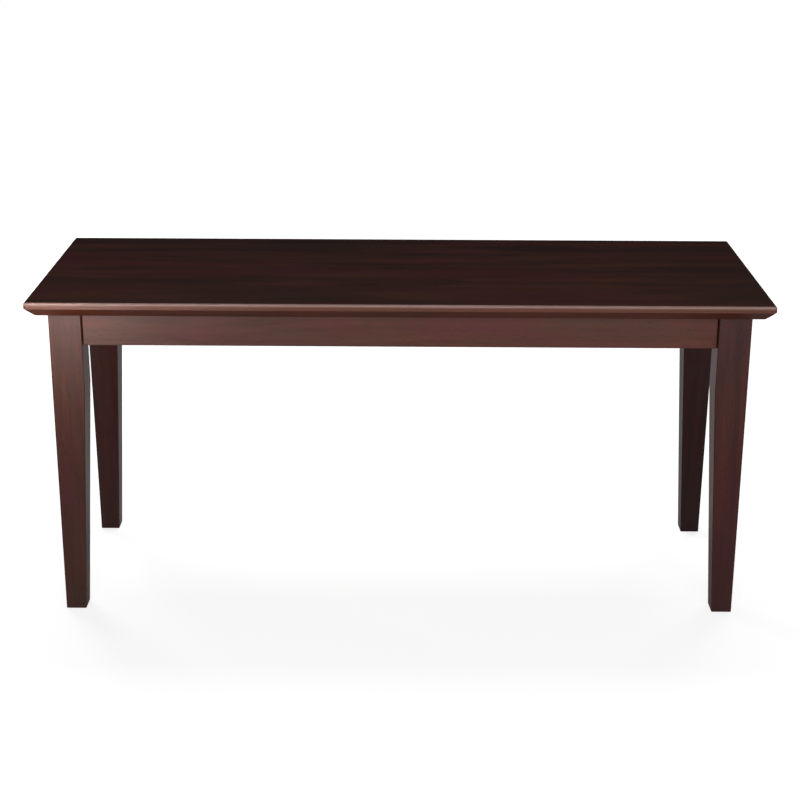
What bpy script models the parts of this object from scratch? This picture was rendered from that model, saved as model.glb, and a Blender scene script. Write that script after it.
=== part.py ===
"""Shaker-style entry bench in dark-stained solid wood, in metres, +Z up.

The origin is on the floor in the middle of the bench, with +X along its length and -Y its front.
Four tapered legs are bolted into the corners of a shallow apron frame, through corner blocks,
and the seat is screwed to that frame from below.
"""

import math

import bmesh
import bpy
from mathutils import Matrix, Vector

# Overall size
SEAT_LENGTH = 0.9906
SEAT_DEPTH = 0.358
BENCH_HEIGHT = 0.457

# Seat panel: an upright edge over an undercut that slopes in to the underside
SEAT_THICKNESS = 0.0207
UNDERCUT_HEIGHT = 0.0115
UNDERCUT_INSET = 0.0115
SEAT_CORNER_ROUNDING = 0.0030
SEAT_TOP_ROUNDING = 0.0024
SEAT_MIDDLE_ROUNDING = 0.0045
SEAT_BOTTOM_ROUNDING = 0.0010

# Legs: square at the top, with the two inner faces tapered down to the foot
LEG_SIZE = 0.0438
FOOT_SIZE = 0.0280
TAPER_START = 0.3270
LEG_ROUNDING = 0.0012
END_OVERHANG = 0.0257
SIDE_OVERHANG = 0.0272

# Apron boards, set back from the legs' outer faces
APRON_HEIGHT = 0.0480
APRON_THICKNESS = 0.0200
APRON_SETBACK = 0.0080
BOARD_ROUNDING = 0.0008

# Corner blocks, and the flat on each leg's inner arris that a block faces
BLOCK_THICKNESS = 0.0200
BLOCK_STEP_UP = 0.0075
FLAT_MARGIN = 0.0025

# Cross rail under the middle of the seat
RAIL_WIDTH = 0.0450
RAIL_HEIGHT = 0.0320

# Hanger bolts with their washers and nuts
BOLT_RADIUS = 0.0040
BOLT_IN_LEG = 0.0300
BOLT_PAST_NUT = 0.0040
BOLT_POINT = 0.0050
BOLT_CHAMFER = 0.0010
WASHER_RADIUS = 0.0080
WASHER_THICKNESS = 0.0016
NUT_ACROSS_FLATS = 0.0130
NUT_HEIGHT = 0.0065

# Wood screws, the same size everywhere
SCREW_RADIUS = 0.0020
SCREW_POINT = 0.0050
SCREW_HEAD_RADIUS = 0.0040
SCREW_HEAD_HEIGHT = 0.0026
HEAD_BORE_RADIUS = 0.0045

# Where the screws stand and how far they bite
POCKET_ANGLE = math.radians(25)
SEAT_BITE = 0.0120
LONG_APRON_SCREW_COUNT = 4
END_APRON_SCREW_COUNT = 2
POCKET_TO_BLOCK = 0.0250
APRON_BITE = 0.0130
WOOD_UNDER_HEAD = 0.0060
SCREW_TO_BLOCK_TIP = 0.0130
SCREW_TO_BLOCK_EDGE = 0.0075
RAIL_HEAD_BORE = 0.0060
RAIL_SCREW_TO_END = 0.0600

# Dowels between the cross rail and the long aprons
DOWEL_RADIUS = 0.0040
DOWEL_IN_APRON = 0.0120
DOWEL_IN_RAIL = 0.0180
DOWEL_TO_RAIL_EDGE = 0.0120

# Least space between pieces that touch, and around what passes through a hole
GAP = 0.0003

# Sides of the round pieces, in multiples of 4 so that a pin's sides face those of its bore
ROUND_SIDES = 24
SCREW_SIDES = 12

# Places worked out from the sizes
SEAT_UNDERSIDE = BENCH_HEIGHT - SEAT_THICKNESS
FRAME_TOP = SEAT_UNDERSIDE - GAP
APRON_BOTTOM = FRAME_TOP - APRON_HEIGHT
LEG_X = SEAT_LENGTH / 2 - END_OVERHANG
LEG_Y = SEAT_DEPTH / 2 - SIDE_OVERHANG
LONG_APRON_LENGTH = 2 * (LEG_X - LEG_SIZE - GAP)
END_APRON_LENGTH = 2 * (LEG_Y - LEG_SIZE - GAP)

# In a corner's own frame the leg's outer arris is the origin, and +X and +Y run inwards
APRON_INNER = APRON_SETBACK + APRON_THICKNESS
BLOCK_SIDE = APRON_INNER + GAP
FLAT_LINE = LEG_SIZE + APRON_INNER + FLAT_MARGIN
BLOCK_OUTER_LINE = FLAT_LINE + GAP * math.sqrt(2)
BLOCK_INNER_LINE = BLOCK_OUTER_LINE + BLOCK_THICKNESS * math.sqrt(2)
BLOCK_BOTTOM = APRON_BOTTOM + BLOCK_STEP_UP
BLOCK_SCREW_LENGTH = WOOD_UNDER_HEAD + GAP + APRON_BITE
BOLT_HEIGHT = (BLOCK_BOTTOM + FRAME_TOP) / 2
INWARD = Vector((1, 1, 0)).normalized()
UP = Vector((0, 0, 1))

# Plain colours of the stained wood, the raw dowels and the plated steel
STAINED_WOOD = ("stained_wood", (0.060, 0.018, 0.011), 0.38, 0.0)
STAINED_INNER_WOOD = ("stained_inner_wood", (0.052, 0.017, 0.011), 0.60, 0.0)
RAW_DOWEL_WOOD = ("raw_dowel_wood", (0.56, 0.41, 0.26), 0.65, 0.0)
PLATED_STEEL = ("plated_steel", (0.62, 0.62, 0.60), 0.35, 1.0)


def clear_scene():
    for obj in list(bpy.data.objects):
        bpy.data.objects.remove(obj, do_unlink=True)


def collection(name):
    made = bpy.data.collections.new(name)
    bpy.context.scene.collection.children.link(made)
    return made


def material(name, colour, roughness, metallic):
    if name in bpy.data.materials:
        return bpy.data.materials[name]
    made = bpy.data.materials.new(name)
    made.use_nodes = True
    made.diffuse_color = (*colour, 1)
    shader = made.node_tree.nodes["Principled BSDF"]
    shader.inputs["Base Color"].default_value = (*colour, 1)
    shader.inputs["Roughness"].default_value = roughness
    shader.inputs["Metallic"].default_value = metallic
    return made


def add_object(name, bm, finish, parent):
    """Turns the bmesh into an object under the parent, in the bench's collection."""
    bmesh.ops.recalc_face_normals(bm, faces=bm.faces)
    mesh = bpy.data.meshes.new(name)
    bm.to_mesh(mesh)
    bm.free()
    obj = bpy.data.objects.new(name, mesh)
    obj.parent = parent
    mesh.materials.append(material(*finish))
    bench.objects.link(obj)
    return obj


def round_edges(obj, width, segments=2):
    modifier = obj.modifiers.new("rounded_edges", "BEVEL")
    modifier.width = width
    modifier.segments = segments
    modifier.limit_method = "ANGLE"
    modifier.angle_limit = math.radians(30)


def smooth(obj):
    obj.data.shade_smooth()
    obj.data.set_sharp_from_angle(angle=math.radians(40))


def cut(obj, bm, what):
    """Takes the bmesh, which is in the object's own frame, out of the object."""
    bmesh.ops.recalc_face_normals(bm, faces=bm.faces)
    mesh = bpy.data.meshes.new(f"{obj.name}_{what}")
    bm.to_mesh(mesh)
    bm.free()
    cutter = bpy.data.objects.new(f"{obj.name}_{what}", mesh)
    cutter.parent = obj
    cutter.hide_render = True
    cutter.display_type = "WIRE"
    cutters.objects.link(cutter)
    modifier = obj.modifiers.new(what, "BOOLEAN")
    modifier.operation = "DIFFERENCE"
    modifier.solver = "EXACT"
    modifier.object = cutter


def add_box(bm, low, high):
    low = Vector(low)
    high = Vector(high)
    size = Matrix.Diagonal((*(high - low), 1))
    bmesh.ops.create_cube(bm, size=1, matrix=Matrix.Translation((low + high) / 2) @ size)


def along(start, direction):
    """The placement whose origin is the start and whose +Z is the direction."""
    turn = Vector(direction).to_track_quat("Z", "Y").to_matrix().to_4x4()
    return Matrix.Translation(start) @ turn


def add_rod(bm, start, end, radius, sides):
    """A plain cylinder from start to end."""
    start = Vector(start)
    end = Vector(end)
    length = (end - start).length
    placement = along(start, end - start) @ Matrix.Translation((0, 0, length / 2))
    bmesh.ops.create_cone(
        bm, cap_ends=True, segments=sides, radius1=radius, radius2=radius, depth=length, matrix=placement
    )


def add_turned(bm, profile, placement, sides, closed=False):
    """Spins a profile of (radius, height) points about the placement's +Z."""
    before = set(bm.verts)
    points = [bm.verts.new((radius, 0, height)) for radius, height in profile]
    pairs = list(zip(points, points[1:]))
    if closed:
        pairs.append((points[-1], points[0]))
    edges = [bm.edges.new(pair) for pair in pairs]
    bmesh.ops.spin(
        bm, geom=points + edges, cent=(0, 0, 0), axis=(0, 0, 1), angle=math.tau, steps=sides, use_merge=True
    )
    bmesh.ops.remove_doubles(bm, verts=[vert for vert in bm.verts if vert not in before], dist=1e-6)
    bmesh.ops.transform(bm, matrix=placement, verts=[vert for vert in bm.verts if vert not in before])


def add_prism(bm, outline, bottom, top):
    """A flat outline of (x, y) points, extruded from bottom to top."""
    face = bm.faces.new([bm.verts.new((x, y, bottom)) for x, y in outline])
    extruded = bmesh.ops.extrude_face_region(bm, geom=[face])["geom"]
    upper = [item for item in extruded if isinstance(item, bmesh.types.BMVert)]
    bmesh.ops.translate(bm, verts=upper, vec=(0, 0, top - bottom))


def on_bolt(distance):
    """The point that far along a corner's bolt line, from the leg's outer arris inwards."""
    return INWARD * distance + UP * BOLT_HEIGHT


def turned_about_z(x, y, quarter_turns):
    return Matrix.Translation((x, y, 0)) @ Matrix.Rotation(quarter_turns * math.pi / 2, 4, "Z")


# The four corners, each turned so that its own +X and +Y run inwards
CORNERS = {
    "front_left": turned_about_z(-LEG_X, -LEG_Y, 0),
    "front_right": turned_about_z(LEG_X, -LEG_Y, 1),
    "rear_right": turned_about_z(LEG_X, LEG_Y, 2),
    "rear_left": turned_about_z(-LEG_X, LEG_Y, 3),
}

# Each apron's length, screws and placement: its outer face is y = 0 and its own +Y runs inwards
APRONS = {
    "front_apron": (LONG_APRON_LENGTH, LONG_APRON_SCREW_COUNT, turned_about_z(0, APRON_SETBACK - LEG_Y, 0)),
    "right_apron": (END_APRON_LENGTH, END_APRON_SCREW_COUNT, turned_about_z(LEG_X - APRON_SETBACK, 0, 1)),
    "rear_apron": (LONG_APRON_LENGTH, LONG_APRON_SCREW_COUNT, turned_about_z(0, LEG_Y - APRON_SETBACK, 2)),
    "left_apron": (END_APRON_LENGTH, END_APRON_SCREW_COUNT, turned_about_z(APRON_SETBACK - LEG_X, 0, 3)),
}


def pocket_screws(length, count):
    """Placements of an apron's slanted screws in its own frame, their length and the pocket's."""
    reach = BLOCK_INNER_LINE - BLOCK_SIDE - LEG_SIZE
    last = length / 2 - reach - POCKET_TO_BLOCK
    direction = Vector((0, -math.sin(POCKET_ANGLE), math.cos(POCKET_ANGLE)))
    wood_above = (APRON_THICKNESS / 2 - HEAD_BORE_RADIUS) / math.sin(POCKET_ANGLE)
    screw_length = wood_above + (SEAT_BITE + GAP) / math.cos(POCKET_ANGLE)
    pocket = 2 * HEAD_BORE_RADIUS / math.sin(POCKET_ANGLE)
    placements = []
    for index in range(count):
        crossing = Vector((last * (2 * index / (count - 1) - 1), APRON_THICKNESS / 2, FRAME_TOP))
        placements.append(along(crossing - direction * wood_above, direction))
    return placements, screw_length, pocket


def rail_screws():
    """Placements of the upright screws through the cross rail, and their length."""
    y = LEG_Y - APRON_INNER - RAIL_SCREW_TO_END
    z = FRAME_TOP - RAIL_HEIGHT + RAIL_HEAD_BORE
    placements = [Matrix.Translation((0, side * y, z)) for side in (-1, 1)]
    return placements, RAIL_HEIGHT - RAIL_HEAD_BORE + GAP + SEAT_BITE


def rail_dowels():
    """(x, z) of the dowels at each end of the cross rail."""
    x = RAIL_WIDTH / 2 - DOWEL_TO_RAIL_EDGE
    z = FRAME_TOP - RAIL_HEIGHT / 2
    return [(-x, z), (x, z)]


def block_screws():
    """A corner block's two screws in the corner's frame, low into one apron and high into the other."""
    reach = BLOCK_INNER_LINE - BLOCK_SIDE - SCREW_TO_BLOCK_TIP
    side = BLOCK_SIDE + WOOD_UNDER_HEAD
    low = BLOCK_BOTTOM + SCREW_TO_BLOCK_EDGE
    high = FRAME_TOP - SCREW_TO_BLOCK_EDGE
    return {
        "lower": along((reach, side, low), (0, -1, 0)),
        "upper": along((side, reach, high), (-1, 0, 0)),
    }


def add_screw_bore(bm, placement, length, head_bore_depth):
    """Room for a screw: its shank's bore and the wider bore that its head is sunk in."""
    radius = SCREW_RADIUS + GAP
    profile = [
        (0, length + GAP),
        (radius, length + GAP),
        (radius, GAP),
        (HEAD_BORE_RADIUS, GAP),
        (HEAD_BORE_RADIUS, -head_bore_depth),
        (0, -head_bore_depth),
    ]
    add_turned(bm, profile, placement, SCREW_SIDES)


def add_shank_bore(bm, placement, length):
    """Room for the part of a screw's shank that bites into the next piece."""
    start = placement @ Vector((0, 0, 0))
    end = placement @ Vector((0, 0, length + GAP))
    add_rod(bm, start, end, SCREW_RADIUS + GAP, SCREW_SIDES)


def make_screws(placements, length, parent):
    """Pan-head wood screws by name: each placement is the point under a head, with +Z along the shank."""
    bm = bmesh.new()
    profile = [
        (0, length),
        (SCREW_RADIUS, length - SCREW_POINT),
        (SCREW_RADIUS, 0),
        (SCREW_HEAD_RADIUS, 0),
        (SCREW_HEAD_RADIUS, -SCREW_HEAD_HEIGHT / 2),
        (SCREW_HEAD_RADIUS - SCREW_HEAD_HEIGHT / 2, -SCREW_HEAD_HEIGHT),
        (0, -SCREW_HEAD_HEIGHT),
    ]
    add_turned(bm, profile, Matrix.Identity(4), SCREW_SIDES)
    names = list(placements)
    first = add_object(names[0], bm, PLATED_STEEL, parent)
    smooth(first)
    first.matrix_local = placements[names[0]]
    for name in names[1:]:
        copy = bpy.data.objects.new(name, first.data)
        copy.parent = parent
        copy.matrix_local = placements[name]
        bench.objects.link(copy)


def numbered(name, placements):
    return {f"{name}_{index + 1}": placement for index, placement in enumerate(placements)}


def round_seat_edges(bm, height, width):
    """Rounds the level edges at a height, where two faces meet at an angle."""
    edges = []
    for edge in bm.edges:
        level = all(abs(vert.co.z - height) < GAP for vert in edge.verts)
        if level and edge.calc_face_angle() > math.radians(30):
            edges.append(edge)
    bmesh.ops.bevel(
        bm, geom=edges, offset=width, offset_type="OFFSET", segments=3, profile=0.5, affect="EDGES"
    )


def make_seat(root):
    bm = bmesh.new()
    undercut_top = SEAT_UNDERSIDE + UNDERCUT_HEIGHT
    low = (-SEAT_LENGTH / 2, -SEAT_DEPTH / 2, undercut_top)
    add_box(bm, low, (SEAT_LENGTH / 2, SEAT_DEPTH / 2, BENCH_HEIGHT))
    bottom = [face for face in bm.faces if face.normal.z < -0.5]
    extruded = bmesh.ops.extrude_face_region(bm, geom=bottom)["geom"]
    bmesh.ops.delete(bm, geom=bottom, context="FACES_ONLY")
    for vert in extruded:
        if isinstance(vert, bmesh.types.BMVert):
            vert.co.x -= math.copysign(UNDERCUT_INSET, vert.co.x)
            vert.co.y -= math.copysign(UNDERCUT_INSET, vert.co.y)
            vert.co.z -= UNDERCUT_HEIGHT
    corners = [edge for edge in bm.edges if abs(edge.verts[0].co.z - edge.verts[1].co.z) > GAP]
    bmesh.ops.bevel(
        bm, geom=corners, offset=SEAT_CORNER_ROUNDING, segments=3, profile=0.5, affect="EDGES"
    )
    round_seat_edges(bm, undercut_top, SEAT_MIDDLE_ROUNDING)
    round_seat_edges(bm, BENCH_HEIGHT, SEAT_TOP_ROUNDING)
    round_seat_edges(bm, SEAT_UNDERSIDE, SEAT_BOTTOM_ROUNDING)
    seat = add_object("seat_panel", bm, STAINED_WOOD, root)
    bores = bmesh.new()
    for length, count, placement in APRONS.values():
        screws, screw_length, _ = pocket_screws(length, count)
        for screw in screws:
            add_shank_bore(bores, placement @ screw, screw_length)
    screws, screw_length = rail_screws()
    for screw in screws:
        add_shank_bore(bores, screw, screw_length)
    cut(seat, bores, "bores")
    smooth(seat)


def make_apron(name, root):
    length, count, placement = APRONS[name]
    bm = bmesh.new()
    add_box(bm, (-length / 2, 0, APRON_BOTTOM), (length / 2, APRON_THICKNESS, FRAME_TOP))
    apron = add_object(name, bm, STAINED_WOOD, root)
    apron.matrix_local = placement
    round_edges(apron, BOARD_ROUNDING, 1)
    bores = bmesh.new()
    screws, screw_length, pocket = pocket_screws(length, count)
    for screw in screws:
        add_screw_bore(bores, screw, screw_length, pocket)
    # The board at a corner's own +X takes the lower screw, and the one at its +Y the upper screw
    corner_x = length / 2 + GAP + LEG_SIZE
    from_start = turned_about_z(-corner_x, -APRON_SETBACK, 0)
    from_end = turned_about_z(corner_x, -APRON_SETBACK, 1)
    add_shank_bore(bores, from_start @ block_screws()["lower"], BLOCK_SCREW_LENGTH)
    add_shank_bore(bores, from_end @ block_screws()["upper"], BLOCK_SCREW_LENGTH)
    if length == LONG_APRON_LENGTH:
        for x, z in rail_dowels():
            start = (x, APRON_THICKNESS - DOWEL_IN_APRON - GAP, z)
            add_rod(bores, start, (x, APRON_THICKNESS + GAP, z), DOWEL_RADIUS + GAP, ROUND_SIDES)
    cut(apron, bores, "bores")


def make_leg(name, corner):
    bm = bmesh.new()
    add_box(bm, (0, 0, 0), (LEG_SIZE, LEG_SIZE, FRAME_TOP))
    everything = bm.verts[:] + bm.edges[:] + bm.faces[:]
    bmesh.ops.bisect_plane(bm, geom=everything, plane_co=(0, 0, TAPER_START), plane_no=(0, 0, 1))
    for vert in bm.verts:
        if vert.co.z < TAPER_START / 2:
            vert.co.x = min(vert.co.x, FOOT_SIZE)
            vert.co.y = min(vert.co.y, FOOT_SIZE)
    leg = add_object(name + "_leg", bm, STAINED_WOOD, corner)
    round_edges(leg, LEG_ROUNDING)
    flat = bmesh.new()
    past = LEG_SIZE + GAP
    outline = [(FLAT_LINE - past, past), (past, FLAT_LINE - past), (past, past)]
    add_prism(flat, outline, APRON_BOTTOM, FRAME_TOP + GAP)
    cut(leg, flat, "flat")
    bore = bmesh.new()
    flat_at = FLAT_LINE / math.sqrt(2)
    bore_end = on_bolt(flat_at - BOLT_IN_LEG - GAP)
    add_rod(bore, bore_end, on_bolt(flat_at + GAP), BOLT_RADIUS + GAP, ROUND_SIDES)
    cut(leg, bore, "bore")
    smooth(leg)


def make_block(name, corner):
    bm = bmesh.new()
    outer = BLOCK_OUTER_LINE - BLOCK_SIDE
    inner = BLOCK_INNER_LINE - BLOCK_SIDE
    outline = [(BLOCK_SIDE, outer), (outer, BLOCK_SIDE), (inner, BLOCK_SIDE), (BLOCK_SIDE, inner)]
    add_prism(bm, outline, BLOCK_BOTTOM, FRAME_TOP)
    block = add_object(name + "_corner_block", bm, STAINED_INNER_WOOD, corner)
    round_edges(block, BOARD_ROUNDING, 1)
    bores = bmesh.new()
    head_bore = SCREW_TO_BLOCK_TIP - WOOD_UNDER_HEAD + HEAD_BORE_RADIUS + GAP
    for screw in block_screws().values():
        add_screw_bore(bores, screw, BLOCK_SCREW_LENGTH, head_bore)
    outer_face = on_bolt(BLOCK_OUTER_LINE / math.sqrt(2) - GAP)
    inner_face = on_bolt(BLOCK_INNER_LINE / math.sqrt(2) + GAP)
    add_rod(bores, outer_face, inner_face, BOLT_RADIUS + GAP, ROUND_SIDES)
    cut(block, bores, "bores")
    screws = {f"{name}_{level}_block_screw": screw for level, screw in block_screws().items()}
    make_screws(screws, BLOCK_SCREW_LENGTH, corner)


def make_cross_rail(root):
    end = LEG_Y - APRON_INNER - GAP
    bm = bmesh.new()
    add_box(bm, (-RAIL_WIDTH / 2, -end, FRAME_TOP - RAIL_HEIGHT), (RAIL_WIDTH / 2, end, FRAME_TOP))
    rail = add_object("centre_rail", bm, STAINED_INNER_WOOD, root)
    round_edges(rail, BOARD_ROUNDING, 1)
    bores = bmesh.new()
    screws, length = rail_screws()
    for screw in screws:
        add_screw_bore(bores, screw, length, RAIL_HEAD_BORE + GAP)
    for side, side_name in ((-1, "front"), (1, "rear")):
        for index, (x, z) in enumerate(rail_dowels()):
            inner = Vector((x, side * (end - DOWEL_IN_RAIL), z))
            outer = Vector((x, side * (end + GAP + DOWEL_IN_APRON), z))
            wider = Vector((0, side * GAP, 0))
            add_rod(bores, inner - wider, outer, DOWEL_RADIUS + GAP, ROUND_SIDES)
            dowel = bmesh.new()
            add_rod(dowel, inner, outer, DOWEL_RADIUS, ROUND_SIDES)
            smooth(add_object(f"centre_rail_{side_name}_dowel_{index + 1}", dowel, RAW_DOWEL_WOOD, root))
    cut(rail, bores, "bores")
    make_screws(numbered("centre_rail_screw", screws), length, root)


def bolt_shapes():
    """The shapes of a hanger bolt, its washer and its nut, with how far along the bolt line each starts."""
    face = BLOCK_INNER_LINE / math.sqrt(2)
    washer_at = face + GAP
    nut_at = washer_at + WASHER_THICKNESS + GAP
    bolt_at = FLAT_LINE / math.sqrt(2) - BOLT_IN_LEG
    length = nut_at + NUT_HEIGHT + BOLT_PAST_NUT - bolt_at
    bore = BOLT_RADIUS + GAP
    bolt = bmesh.new()
    profile = [
        (0, 0),
        (BOLT_RADIUS, BOLT_POINT),
        (BOLT_RADIUS, length - BOLT_CHAMFER),
        (BOLT_RADIUS - BOLT_CHAMFER, length),
        (0, length),
    ]
    add_turned(bolt, profile, Matrix.Identity(4), ROUND_SIDES)
    washer = bmesh.new()
    ring = [(bore, 0), (bore, WASHER_THICKNESS), (WASHER_RADIUS, WASHER_THICKNESS), (WASHER_RADIUS, 0)]
    add_turned(washer, ring, Matrix.Identity(4), ROUND_SIDES, closed=True)
    nut = bmesh.new()
    bmesh.ops.create_circle(nut, segments=6, radius=NUT_ACROSS_FLATS / math.sqrt(3))
    bmesh.ops.subdivide_edges(nut, edges=nut.edges[:], cuts=ROUND_SIDES // 6 - 1)
    bmesh.ops.create_circle(nut, segments=ROUND_SIDES, radius=bore)
    bmesh.ops.bridge_loops(nut, edges=nut.edges[:])
    extruded = bmesh.ops.extrude_face_region(nut, geom=nut.faces[:])["geom"]
    upper = [item for item in extruded if isinstance(item, bmesh.types.BMVert)]
    bmesh.ops.translate(nut, verts=upper, vec=(0, 0, NUT_HEIGHT))
    return {"hanger_bolt": (bolt, bolt_at), "washer": (washer, washer_at), "nut": (nut, nut_at)}


def make_bolt(name, corner):
    for fixing, (bm, start) in bolt_shapes().items():
        obj = add_object(f"{name}_{fixing}", bm, PLATED_STEEL, corner)
        obj.matrix_local = along(on_bolt(start), INWARD)
        smooth(obj)


def make_empty(name, parent, placement):
    empty = bpy.data.objects.new(name, None)
    empty.empty_display_size = 0.05
    empty.parent = parent
    empty.matrix_local = placement
    bench.objects.link(empty)
    return empty


clear_scene()
bench = collection("entry_bench")
cutters = collection("cutters")
base = make_empty("bench_base", None, Matrix.Identity(4))
make_seat(base)
for apron_name, (apron_length, screw_count, apron_placement) in APRONS.items():
    make_apron(apron_name, base)
    slanted, slanted_length, _ = pocket_screws(apron_length, screw_count)
    in_place = [apron_placement @ screw for screw in slanted]
    make_screws(numbered(apron_name + "_seat_screw", in_place), slanted_length, base)
for corner_name, corner_placement in CORNERS.items():
    corner_empty = make_empty(corner_name + "_corner", base, corner_placement)
    make_leg(corner_name, corner_empty)
    make_block(corner_name, corner_empty)
    make_bolt(corner_name, corner_empty)
make_cross_rail(base)
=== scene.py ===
import math

import bmesh
import bpy
from mathutils import Matrix, Vector


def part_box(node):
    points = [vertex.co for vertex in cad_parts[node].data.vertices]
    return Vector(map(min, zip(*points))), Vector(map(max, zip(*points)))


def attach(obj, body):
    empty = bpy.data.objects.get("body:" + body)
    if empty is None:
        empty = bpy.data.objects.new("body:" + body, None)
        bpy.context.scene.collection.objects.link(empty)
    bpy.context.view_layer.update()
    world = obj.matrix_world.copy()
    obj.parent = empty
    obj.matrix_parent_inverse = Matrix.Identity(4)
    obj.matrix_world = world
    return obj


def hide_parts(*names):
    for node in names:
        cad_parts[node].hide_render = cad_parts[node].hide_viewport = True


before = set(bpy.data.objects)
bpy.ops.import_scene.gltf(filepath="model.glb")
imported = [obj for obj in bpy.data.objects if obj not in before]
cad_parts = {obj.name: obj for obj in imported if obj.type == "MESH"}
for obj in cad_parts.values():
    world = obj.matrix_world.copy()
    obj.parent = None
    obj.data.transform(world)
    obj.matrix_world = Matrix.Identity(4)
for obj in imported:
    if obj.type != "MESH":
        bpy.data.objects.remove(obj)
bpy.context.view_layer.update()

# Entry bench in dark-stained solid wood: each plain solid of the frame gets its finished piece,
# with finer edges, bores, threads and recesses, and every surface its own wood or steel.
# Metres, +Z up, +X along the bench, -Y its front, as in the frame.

# Camera, at the photograph's viewing angle
CAMERA_PLACE = (0.0093, -2.2328, 1.0558)
CAMERA_HEADING = math.radians(0.245)
CAMERA_DIP = math.radians(18.235)
CAMERA_ROLL = math.radians(0.247)
CAMERA_LENS = 73.416
CAMERA_SENSOR = 36.0
CAMERA_SHIFT_UP = -0.0482

# Seat profile: an upright edge over an undercut that slopes in to the underside
UNDERCUT_HEIGHT = 0.0115
UNDERCUT_INSET = 0.0115
SEAT_CORNER_ROUNDING = 0.0030
SEAT_TOP_ROUNDING = 0.0030
SEAT_MIDDLE_ROUNDING = 0.0058
SEAT_BOTTOM_ROUNDING = 0.0010
SEAT_BOARD_WIDTH = 0.0895

# Legs, with the flat on the inner arris that a corner block is drawn up to
FOOT_SIZE = 0.0280
TAPER_START = 0.3270
LEG_ROUNDING = 0.0014
FOOT_CHAMFER = 0.0010
FLAT_MARGIN = 0.0025

# Boards and blocks
BOARD_ROUNDING = 0.0009
BLOCK_THICKNESS = 0.0200

# Wood screws, hanger bolts and dowels
SCREW_RADIUS = 0.0020
SCREW_POINT = 0.0050
SCREW_HEAD_RADIUS = 0.0040
SCREW_HEAD_HEIGHT = 0.0026
SCREW_DOME_SHARE = 0.55
SCREW_SMOOTH_SHARE = 0.25
SCREW_THREAD_DEPTH = 0.0006
SCREW_THREAD_PITCH = 0.0018
RECESS_REACH = 0.0021
RECESS_HALF_WIDTH = 0.00045
RECESS_FLOOR = -0.0006
RECESS_TAPER = 0.45
HEAD_BORE_RADIUS = 0.0045
POCKET_ANGLE = math.radians(25)
SEAT_BITE = 0.0120
POCKET_TO_BLOCK = 0.0250
APRON_BITE = 0.0130
WOOD_UNDER_HEAD = 0.0060
SCREW_TO_BLOCK_TIP = 0.0130
SCREW_TO_BLOCK_EDGE = 0.0075
RAIL_HEAD_BORE = 0.0060
RAIL_SCREW_TO_END = 0.0600
BOLT_RADIUS = 0.0040
BOLT_IN_LEG = 0.0300
BOLT_PAST_NUT = 0.0040
BOLT_POINT = 0.0050
BOLT_CHAMFER = 0.0010
BOLT_THREAD_DEPTH = 0.0006
BOLT_THREAD_PITCH = 0.00125
MACHINE_THREAD_LENGTH = 0.024
THREAD_STEPS = 16
THREAD_HALF_WIDTH = 0.42
WASHER_RADIUS = 0.0080
WASHER_THICKNESS = 0.0016
WASHER_EASING = 0.0003
NUT_ACROSS_FLATS = 0.0130
NUT_HEIGHT = 0.0065
NUT_TURNED_OFF = 0.0004
NUT_SINK = 0.0005
DOWEL_RADIUS = 0.0040
DOWEL_IN_APRON = 0.0120
DOWEL_TO_RAIL_EDGE = 0.0120
DOWEL_FLUTES = 16
DOWEL_FLUTE_SHARE = 0.93
DOWEL_EASING = 0.0006
GAP = 0.0003
ROUND_SIDES = 32
NUT_SIDES = 48
SHARP_ANGLE = math.radians(28)
FLAT_SHADING_ANGLE = math.radians(38)

# Places read from the frame
SEAT_LOW, SEAT_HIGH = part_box("seat_panel")
LEG_LOW, LEG_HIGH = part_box("front_left_leg")
LEG_SIZE = LEG_HIGH.x - LEG_LOW.x
LEG_X = -LEG_LOW.x
LEG_Y = -LEG_LOW.y
FRAME_TOP = LEG_HIGH.z
APRON_LOW, APRON_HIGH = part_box("front_apron")
APRON_THICKNESS = APRON_HIGH.y - APRON_LOW.y
APRON_BOTTOM = APRON_LOW.z
APRON_INNER = LEG_Y + APRON_HIGH.y
BLOCK_LOW, BLOCK_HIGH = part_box("front_left_corner_block")
BLOCK_SIDE = LEG_X + BLOCK_LOW.x
BLOCK_REACH = LEG_X + BLOCK_HIGH.x
BLOCK_BOTTOM = BLOCK_LOW.z
FLAT_LINE = LEG_SIZE + APRON_INNER + FLAT_MARGIN
BLOCK_INNER_LINE = BLOCK_REACH + BLOCK_SIDE
BLOCK_OUTER_LINE = BLOCK_INNER_LINE - BLOCK_THICKNESS * math.sqrt(2)
BLOCK_SCREW_LENGTH = WOOD_UNDER_HEAD + GAP + APRON_BITE
RAIL_LOW, RAIL_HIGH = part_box("centre_rail")
DOWEL_REACH = (RAIL_HIGH.x - RAIL_LOW.x) / 2 - DOWEL_TO_RAIL_EDGE
DOWEL_LINES = (-DOWEL_REACH, DOWEL_REACH)
DOWEL_LEVEL = (RAIL_LOW.z + RAIL_HIGH.z) / 2
BOLT_HEIGHT = (BLOCK_BOTTOM + FRAME_TOP) / 2
INWARD = Vector((1, 1, 0)).normalized()
UP = Vector((0, 0, 1))


# Node trees


def add_node(tree, kind, inputs=None, **settings):
    """A new node with its settings; an input is a value, or another node's output to link."""
    made = tree.nodes.new(kind)
    for name, value in settings.items():
        setattr(made, name, value)
    for name, value in (inputs or {}).items():
        if isinstance(value, bpy.types.NodeSocket):
            tree.links.new(value, made.inputs[name])
        else:
            made.inputs[name].default_value = value
    return made


def math_node(tree, operation, first, second=0.0, clamp=False):
    made = add_node(tree, "ShaderNodeMath", {0: first, 1: second}, operation=operation, use_clamp=clamp)
    return made.outputs[0]


def product(tree, first, second):
    """Two masks multiplied, or one weakened by a share."""
    return math_node(tree, "MULTIPLY", first, second)


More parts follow.
